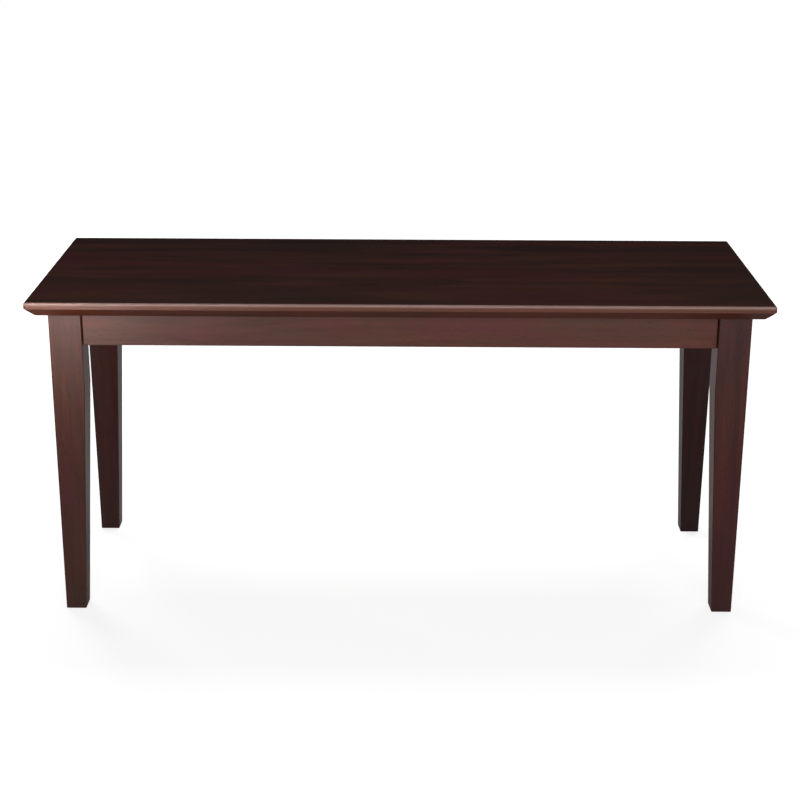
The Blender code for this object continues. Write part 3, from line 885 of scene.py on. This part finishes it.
def on_bolt(distance):
    """The point that far along a corner's bolt line, from the leg's outer arris inwards."""
    return INWARD * distance + UP * BOLT_HEIGHT


def add_screw_bore(bm, placement, length, head_bore_depth):
    """Room for a screw: its shank's bore and the wider bore that its head is sunk in."""
    radius = SCREW_RADIUS + GAP
    profile = [
        (0, length + GAP),
        (radius, length + GAP),
        (radius, GAP),
        (HEAD_BORE_RADIUS, GAP),
        (HEAD_BORE_RADIUS, -head_bore_depth),
        (0, -head_bore_depth),
    ]
    add_turned(bm, profile, placement)


def add_shank_bore(bm, placement, length):
    """Room for a screw's shank alone, in the piece that it bites into."""
    end = placement @ Vector((0, 0, length + GAP))
    add_rod(bm, placement.to_translation(), end, SCREW_RADIUS + GAP)


# Wooden pieces


def make_seat():
    """The glued-up panel, with a softly rounded profile all round and screw bores in its underside."""
    bm = bmesh.new()
    undercut_top = SEAT_LOW.z + UNDERCUT_HEIGHT
    add_box(bm, (SEAT_LOW.x, SEAT_LOW.y, undercut_top), SEAT_HIGH)
    bottom = [face for face in bm.faces if face.normal.z < -0.5]
    extruded = bmesh.ops.extrude_face_region(bm, geom=bottom)["geom"]
    bmesh.ops.delete(bm, geom=bottom, context="FACES_ONLY")
    for vert in new_verts(extruded):
        vert.co.x -= math.copysign(UNDERCUT_INSET, vert.co.x)
        vert.co.y -= math.copysign(UNDERCUT_INSET, vert.co.y)
        vert.co.z -= UNDERCUT_HEIGHT
    bevel(bm, rising_edges(bm), SEAT_CORNER_ROUNDING, 8)
    bevel(bm, sharp_rim(bm, undercut_top), SEAT_MIDDLE_ROUNDING, 8)
    bevel(bm, sharp_rim(bm, SEAT_HIGH.z), SEAT_TOP_ROUNDING, 8)
    bevel(bm, sharp_rim(bm, SEAT_LOW.z), SEAT_BOTTOM_ROUNDING, 4)
    bores = bmesh.new()
    for length, count, placement in APRONS.values():
        screws, screw_length, _ = pocket_screws(length, count)
        for screw in screws:
            add_shank_bore(bores, placement @ screw, screw_length)
    screws, screw_length = rail_screws()
    for screw in screws:
        add_shank_bore(bores, screw, screw_length)
    add_piece("seat_panel", carved(mesh_of("seat", bm), bores), "seat")


def make_apron(name):
    """An apron in its own frame with its pocket, block and dowel bores, then carried into place."""
    length, count, placement = APRONS[name]
    bm = bmesh.new()
    add_box(bm, (-length / 2, 0, APRON_BOTTOM), (length / 2, APRON_THICKNESS, FRAME_TOP))
    bevel(bm, bm.edges[:], BOARD_ROUNDING, 4)
    bores = bmesh.new()
    screws, screw_length, pocket = pocket_screws(length, count)
    for screw in screws:
        add_screw_bore(bores, screw, screw_length, pocket)
    corner_x = length / 2 + GAP + LEG_SIZE
    near_corner = turned_about_z(-corner_x, -APRON_SETBACK, 0)
    far_corner = turned_about_z(corner_x, -APRON_SETBACK, 1)
    add_shank_bore(bores, near_corner @ block_screws()["lower"], BLOCK_SCREW_LENGTH)
    add_shank_bore(bores, far_corner @ block_screws()["upper"], BLOCK_SCREW_LENGTH)
    long = length == LONG_APRON_LENGTH
    if long:
        for x in DOWEL_LINES:
            start = (x, APRON_THICKNESS - DOWEL_IN_APRON - GAP, DOWEL_LEVEL)
            add_rod(bores, start, (x, APRON_THICKNESS + GAP, DOWEL_LEVEL), DOWEL_RADIUS + GAP)
    mesh = carved(mesh_of(name, bm), bores)
    mesh.transform(placement)
    add_piece(name, mesh, "long_apron" if long else "end_apron")


def make_leg(corner):
    """A tapered leg in its corner's own frame with its flat and bolt bore, then carried into place."""
    bm = bmesh.new()
    add_box(bm, (0, 0, 0), (LEG_SIZE, LEG_SIZE, FRAME_TOP))
    everything = bm.verts[:] + bm.edges[:] + bm.faces[:]
    bmesh.ops.bisect_plane(bm, geom=everything, plane_co=(0, 0, TAPER_START), plane_no=(0, 0, 1))
    for vert in bm.verts:
        if vert.co.z < GAP:
            vert.co.x = min(vert.co.x, FOOT_SIZE)
            vert.co.y = min(vert.co.y, FOOT_SIZE)
    bevel(bm, rising_edges(bm), LEG_ROUNDING, 5)
    bevel(bm, sharp_rim(bm, 0), FOOT_CHAMFER, 3)
    flat = bmesh.new()
    past = LEG_SIZE + GAP
    outline = [(FLAT_LINE - past, past), (past, FLAT_LINE - past), (past, past)]
    add_prism(flat, outline, APRON_BOTTOM, FRAME_TOP + GAP)
    mesh = carved(mesh_of(corner + "_leg", bm), flat)
    bore = bmesh.new()
    flat_at = FLAT_LINE / math.sqrt(2)
    add_rod(bore, on_bolt(flat_at - BOLT_IN_LEG - GAP), on_bolt(flat_at + GAP), BOLT_RADIUS + GAP)
    mesh = carved(mesh, bore)
    mesh.transform(CORNERS[corner])
    add_piece(corner + "_leg", mesh, corner + "_leg")


def make_block(corner):
    """A corner block in its corner's own frame with its screw and bolt bores, then carried into place."""
    bm = bmesh.new()
    outer = BLOCK_OUTER_LINE - BLOCK_SIDE
    outline = [(BLOCK_SIDE, outer), (outer, BLOCK_SIDE)]
    outline += [(BLOCK_REACH, BLOCK_SIDE), (BLOCK_SIDE, BLOCK_REACH)]
    add_prism(bm, outline, BLOCK_BOTTOM, FRAME_TOP)
    bevel(bm, bm.edges[:], BOARD_ROUNDING, 4)
    bores = bmesh.new()
    head_bore = SCREW_TO_BLOCK_TIP - WOOD_UNDER_HEAD + HEAD_BORE_RADIUS + GAP
    for screw in block_screws().values():
        add_screw_bore(bores, screw, BLOCK_SCREW_LENGTH, head_bore)
    outer_face = on_bolt(BLOCK_OUTER_LINE / math.sqrt(2) - GAP)
    inner_face = on_bolt(BLOCK_INNER_LINE / math.sqrt(2) + GAP)
    add_rod(bores, outer_face, inner_face, BOLT_RADIUS + GAP)
    mesh = carved(mesh_of(corner + "_block", bm), bores)
    mesh.transform(CORNERS[corner])
    material = "falling_block" if corner in ("front_left", "rear_right") else "rising_block"
    add_piece(corner + "_corner_block", mesh, material)


def make_centre_rail():
    """The rail between the long aprons, with its screw and dowel bores."""
    bm = bmesh.new()
    add_box(bm, RAIL_LOW, RAIL_HIGH)
    bevel(bm, bm.edges[:], BOARD_ROUNDING, 4)
    bores = bmesh.new()
    screws, length = rail_screws()
    for screw in screws:
        add_screw_bore(bores, screw, length, RAIL_HEAD_BORE + GAP)
    for side_name in ("front", "rear"):
        for index, x in enumerate(DOWEL_LINES):
            low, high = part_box(f"centre_rail_{side_name}_dowel_{index + 1}")
            start = (x, low.y - GAP, DOWEL_LEVEL)
            add_rod(bores, start, (x, high.y + GAP, DOWEL_LEVEL), DOWEL_RADIUS + GAP)
    add_piece("centre_rail", carved(mesh_of("centre_rail", bm), bores), "rail")


def make_dowel(node):
    """A fluted dowel with eased ends."""
    low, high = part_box(node)
    centre = (low + high) / 2
    start = Vector((centre.x, low.y, centre.z))
    bm = bmesh.new()
    sides = 2 * DOWEL_FLUTES
    ring = bmesh.ops.create_circle(bm, segments=sides, radius=DOWEL_RADIUS, cap_ends=True)["verts"]
    for vert in ring[1::2]:
        vert.co *= DOWEL_FLUTE_SHARE
    extruded = bmesh.ops.extrude_face_region(bm, geom=bm.faces[:])["geom"]
    bmesh.ops.translate(bm, verts=new_verts(extruded), vec=(0, 0, high.y - low.y))
    ends = [edge for edge in bm.edges if abs(edge.verts[0].co.z - edge.verts[1].co.z) < GAP]
    bevel(bm, ends, DOWEL_EASING, 2)
    mesh = mesh_of(node, bm)
    mesh.transform(along(start, (0, 1, 0)))
    add_piece(node, mesh, "dowel")


# Steel pieces


def screw_mesh(length):
    """A pan-head wood screw with a cross recess; the origin is under its head and +Z runs to its point."""
    bm = bmesh.new()
    core = SCREW_RADIUS - SCREW_THREAD_DEPTH
    dome = SCREW_HEAD_HEIGHT * SCREW_DOME_SHARE
    rim = arc((SCREW_HEAD_RADIUS - dome, -SCREW_HEAD_HEIGHT + dome), dome, 0, -math.pi / 2, 5)
    smooth_shank = length * SCREW_SMOOTH_SHARE
    profile = [(0, length), (core, length - SCREW_POINT), (core, smooth_shank + SCREW_THREAD_DEPTH)]
    profile += [(SCREW_RADIUS, smooth_shank), (SCREW_RADIUS, 0), (SCREW_HEAD_RADIUS, 0)]
    profile += rim
    profile.append((0, -SCREW_HEAD_HEIGHT))
    add_turned(bm, profile)
    recess = bmesh.new()
    for half_x, half_y in ((RECESS_REACH, RECESS_HALF_WIDTH), (RECESS_HALF_WIDTH, RECESS_REACH)):
        mouth = (-half_x, -half_y, -SCREW_HEAD_HEIGHT - GAP)
        wing = add_box(recess, mouth, (half_x, half_y, RECESS_FLOOR))
        for vert in wing:
            if vert.co.z > -SCREW_HEAD_HEIGHT:
                vert.co.x *= RECESS_TAPER if half_x > half_y else 1
                vert.co.y *= RECESS_TAPER if half_y > half_x else 1
    mesh = carved(mesh_of("screw", bm), recess)
    threaded = bmesh.new()
    threaded.from_mesh(mesh)
    bottom = smooth_shank + SCREW_THREAD_PITCH
    top = length - SCREW_POINT - SCREW_THREAD_PITCH / 2
    add_thread(threaded, SCREW_RADIUS, SCREW_THREAD_DEPTH, SCREW_THREAD_PITCH, bottom, top)
    return mesh_of("wood_screw", threaded)


def make_screws(placements, length):
    """One screw of that length for each node and placement."""
    shape = screw_mesh(length)
    for node, placement in placements.items():
        mesh = shape.copy()
        mesh.transform(placement)
        add_piece(node, mesh, "steel")


def numbered(name, placements):
    """The placements under their nodes' names, counted from one."""
    return {f"{name}_{index + 1}": placement for index, placement in enumerate(placements)}


def bolt_parts():
    """A hanger bolt, its washer and its nut: each one's mesh, and how far along the bolt line it starts."""
    washer_at = BLOCK_INNER_LINE / math.sqrt(2) + GAP
    nut_at = washer_at + WASHER_THICKNESS + GAP
    bolt_at = FLAT_LINE / math.sqrt(2) - BOLT_IN_LEG
    length = nut_at + NUT_HEIGHT + BOLT_PAST_NUT - bolt_at
    core = BOLT_RADIUS - BOLT_THREAD_DEPTH
    bolt = bmesh.new()
    profile = [(0, 0), (core, BOLT_POINT)]
    profile += [(core, BOLT_IN_LEG - BOLT_THREAD_DEPTH), (BOLT_RADIUS, BOLT_IN_LEG)]
    machine_start = length - MACHINE_THREAD_LENGTH
    profile += [(BOLT_RADIUS, machine_start), (core, machine_start + BOLT_THREAD_DEPTH)]
    profile += [(core, length - BOLT_CHAMFER), (core - BOLT_CHAMFER / 2, length), (0, length)]
    add_turned(bolt, profile)
    pitch = 2 * SCREW_THREAD_PITCH
    bottom = BOLT_POINT + pitch / 2
    add_thread(bolt, BOLT_RADIUS, BOLT_THREAD_DEPTH, pitch, bottom, BOLT_IN_LEG - pitch)
    pitch = BOLT_THREAD_PITCH
    top = length - BOLT_CHAMFER - pitch
    add_thread(bolt, BOLT_RADIUS, BOLT_THREAD_DEPTH, pitch, machine_start + pitch, top)
    washer = bmesh.new()
    bore = BOLT_RADIUS + GAP
    ring = [
        (bore, 0),
        (bore, WASHER_THICKNESS),
        (WASHER_RADIUS - WASHER_EASING, WASHER_THICKNESS),
        (WASHER_RADIUS, WASHER_THICKNESS - WASHER_EASING),
        (WASHER_RADIUS, WASHER_EASING),
        (WASHER_RADIUS - WASHER_EASING, 0),
    ]
    add_turned(washer, ring, closed=True)
    return {
        "hanger_bolt": (mesh_of("hanger_bolt", bolt), bolt_at),
        "washer": (mesh_of("washer", washer), washer_at),
        "nut": (nut_mesh(), nut_at),
    }


def nut_mesh():
    """A hexagon nut whose corners are turned off at both ends, with a countersunk bore."""
    corner = NUT_ACROSS_FLATS / math.sqrt(3)
    hexagon = bmesh.new()
    bmesh.ops.create_cone(
        hexagon,
        cap_ends=True,
        segments=6,
        radius1=corner,
        radius2=corner,
        depth=NUT_HEIGHT,
        matrix=Matrix.Translation((0, 0, NUT_HEIGHT / 2)),
    )
    end_radius = NUT_ACROSS_FLATS / 2 - NUT_TURNED_OFF
    past_end = end_radius - GAP * math.sqrt(3)
    slope = (corner - end_radius) / math.sqrt(3)
    turned = bmesh.new()
    outline = [(0, -GAP), (past_end, -GAP), (corner, slope)]
    outline += [(corner, NUT_HEIGHT - slope), (past_end, NUT_HEIGHT + GAP), (0, NUT_HEIGHT + GAP)]
    add_turned(turned, outline, sides=NUT_SIDES)
    mesh = carved(mesh_of("nut", hexagon), turned, "INTERSECT")
    bore = bmesh.new()
    radius = BOLT_RADIUS + GAP
    mouth = radius + NUT_SINK + GAP
    outline = [(0, -GAP), (mouth, -GAP), (radius, NUT_SINK)]
    outline += [(radius, NUT_HEIGHT - NUT_SINK), (mouth, NUT_HEIGHT + GAP), (0, NUT_HEIGHT + GAP)]
    add_turned(bore, outline)
    return carved(mesh, bore)


def make_bolts():
    """A hanger bolt with its washer and nut through each corner block."""
    parts = bolt_parts()
    for corner, placement in CORNERS.items():
        for name, (shape, start) in parts.items():
            mesh = shape.copy()
            mesh.transform(placement @ along(on_bolt(start), INWARD))
            add_piece(f"{corner}_{name}", mesh, "steel")


# Studio


def place_camera():
    """The camera at the photograph's place, turned, dipped and rolled as it was."""
    data = bpy.data.cameras.new("camera")
    data.lens = CAMERA_LENS
    data.sensor_width = CAMERA_SENSOR
    data.shift_y = CAMERA_SHIFT_UP
    camera = bpy.data.objects.new("camera", data)
    heading = Matrix.Rotation(CAMERA_HEADING, 4, "Z")
    dip = Matrix.Rotation(math.pi / 2 - CAMERA_DIP, 4, "X")
    roll = Matrix.Rotation(CAMERA_ROLL, 4, "Z")
    camera.matrix_world = Matrix.Translation(CAMERA_PLACE) @ heading @ dip @ roll
    bpy.context.scene.collection.objects.link(camera)
    bpy.context.scene.camera = camera


# Each lamp's place, the point it faces, its width and height, its spread in degrees and its watts
LAMPS = {
    "overhead_lamp": ((0.0, 0.9, 2.4), (0.0, 0.0, 0.4), (2.4, 1.0), 180, 17.0),
    "front_lamp": ((0.2, -2.6, 0.40), (0.0, 0.0, 0.3), (2.4, 0.5), 180, 36.0),
    "left_end_lamp": ((-0.52, -1.35, 0.29), (-0.40, -0.15, 0.46), (0.35, 0.3), 50, 0.16),
    "left_corner_lamp": ((-0.49, -1.10, 0.33), (-0.47, -0.15, 0.46), (0.2, 0.2), 35, 0.12),
    "left_leg_lamp": ((-0.53, -1.10, 0.33), (-0.505, -0.15, 0.475), (0.08, 0.08), 20, 0.08),
    "back_left_lamp": ((-1.8, 1.8, 0.28), (0.0, 0.0, 0.3), (1.0, 0.34), 180, 25.0),
    "back_right_lamp": ((1.8, 1.8, 0.28), (0.0, 0.0, 0.3), (1.0, 0.34), 180, 8.0),
}
WORLD_STRENGTH = 0.034
FLOOR_PALE = (0.86, 0.86, 0.86)
FLOOR_DUSTY = (0.84, 0.84, 0.84)
FLOOR_DUST_SHARE = 0.1
FLOOR_DUST_SCALE = 0.6
FLOOR_ROUGHNESS = 0.9
FLOOR_SPECULAR = 0.1
FLOOR_WHITE = 0.80
FLOOR_NEAR = 1.2
FLOOR_FAR = 3.5
FLOOR_IN_GLOSS = 0.08
FLOOR_HALF_SIZE = 60.0


def hang_lamps():
    """Soft rectangular lamps, unseen by the camera."""
    for name, (place, target, (width, height), spread_angle, power) in LAMPS.items():
        data = bpy.data.lights.new(name, "AREA")
        data.shape = "RECTANGLE"
        data.size = width
        data.size_y = height
        data.spread = math.radians(spread_angle)
        data.energy = power
        lamp = bpy.data.objects.new(name, data)
        lamp.matrix_world = along(place, Vector(place) - Vector(target))
        lamp.visible_camera = False
        bpy.context.scene.collection.objects.link(lamp)


def dim_world():
    """A dim world that shows white to the camera."""
    world = bpy.data.worlds.new("studio")
    world.use_nodes = True
    tree = world.node_tree
    background = tree.nodes["Background"]
    background.inputs["Color"].default_value = (1, 1, 1, 1)
    seen = add_node(tree, "ShaderNodeLightPath").outputs["Is Camera Ray"]
    strength = spread(tree, seen, 0.0, 1.0, WORLD_STRENGTH, 1.0)
    tree.links.new(strength, background.inputs["Strength"])
    bpy.context.scene.world = world


def lay_floor():
    """A wide pale floor that shows white, keeps the bench's shadow and is clear from below."""
    bm = bmesh.new()
    bmesh.ops.create_grid(bm, x_segments=8, y_segments=8, size=FLOOR_HALF_SIZE)
    floor = bpy.data.objects.new("floor", mesh_of("floor", bm))
    floor.location.z = -GAP
    bpy.context.scene.collection.objects.link(floor)
    made, tree, shader, coordinates = new_material("pale_floor")
    dust = spread(tree, noise(tree, coordinates, FLOOR_DUST_SCALE, 2.0), 0.3, 0.7, 0.0, FLOOR_DUST_SHARE)
    tree.links.new(mix_colours(tree, dust, FLOOR_PALE, FLOOR_DUSTY), shader.inputs["Base Color"])
    shader.inputs["Roughness"].default_value = FLOOR_ROUGHNESS
    shader.inputs["Specular IOR Level"].default_value = FLOOR_SPECULAR
    path = add_node(tree, "ShaderNodeLightPath").outputs
    length = add_node(tree, "ShaderNodeVectorMath", {0: coordinates}, operation="LENGTH")
    distance = length.outputs["Value"]
    whiteness = spread(tree, distance, FLOOR_NEAR, FLOOR_FAR, FLOOR_WHITE, 1.0)
    white = product(tree, path["Is Camera Ray"], whiteness)
    reflected = math_node(tree, "MAXIMUM", path["Is Glossy Ray"], path["Is Transmission Ray"])
    white = math_node(tree, "ADD", white, product(tree, reflected, FLOOR_IN_GLOSS))
    seen_from_below = add_node(tree, "ShaderNodeNewGeometry").outputs["Backfacing"]
    tree.links.new(math_node(tree, "SUBTRACT", 1.0, seen_from_below), shader.inputs["Alpha"])
    shader.inputs["Emission Color"].default_value = (1, 1, 1, 1)
    tree.links.new(white, shader.inputs["Emission Strength"])
    floor.data.materials.append(made)


place_camera()
hang_lamps()
dim_world()
lay_floor()
bpy.context.scene.view_settings.view_transform = "Standard"

make_seat()
for apron_name, (apron_length, screw_count, apron_placement) in APRONS.items():
    make_apron(apron_name)
    slanted, slanted_length, _ = pocket_screws(apron_length, screw_count)
    in_place = [apron_placement @ screw for screw in slanted]
    make_screws(numbered(apron_name + "_seat_screw", in_place), slanted_length)
for corner_name, corner_placement in CORNERS.items():
    make_leg(corner_name)
    make_block(corner_name)
    held = {
        f"{corner_name}_{level}_block_screw": corner_placement @ screw
        for level, screw in block_screws().items()
    }
    make_screws(held, BLOCK_SCREW_LENGTH)
make_bolts()
make_centre_rail()
upright_screws, upright_length = rail_screws()
make_screws(numbered("centre_rail_screw", upright_screws), upright_length)
for side_name in ("front", "rear"):
    for dowel_number in (1, 2):
        make_dowel(f"centre_rail_{side_name}_dowel_{dowel_number}")
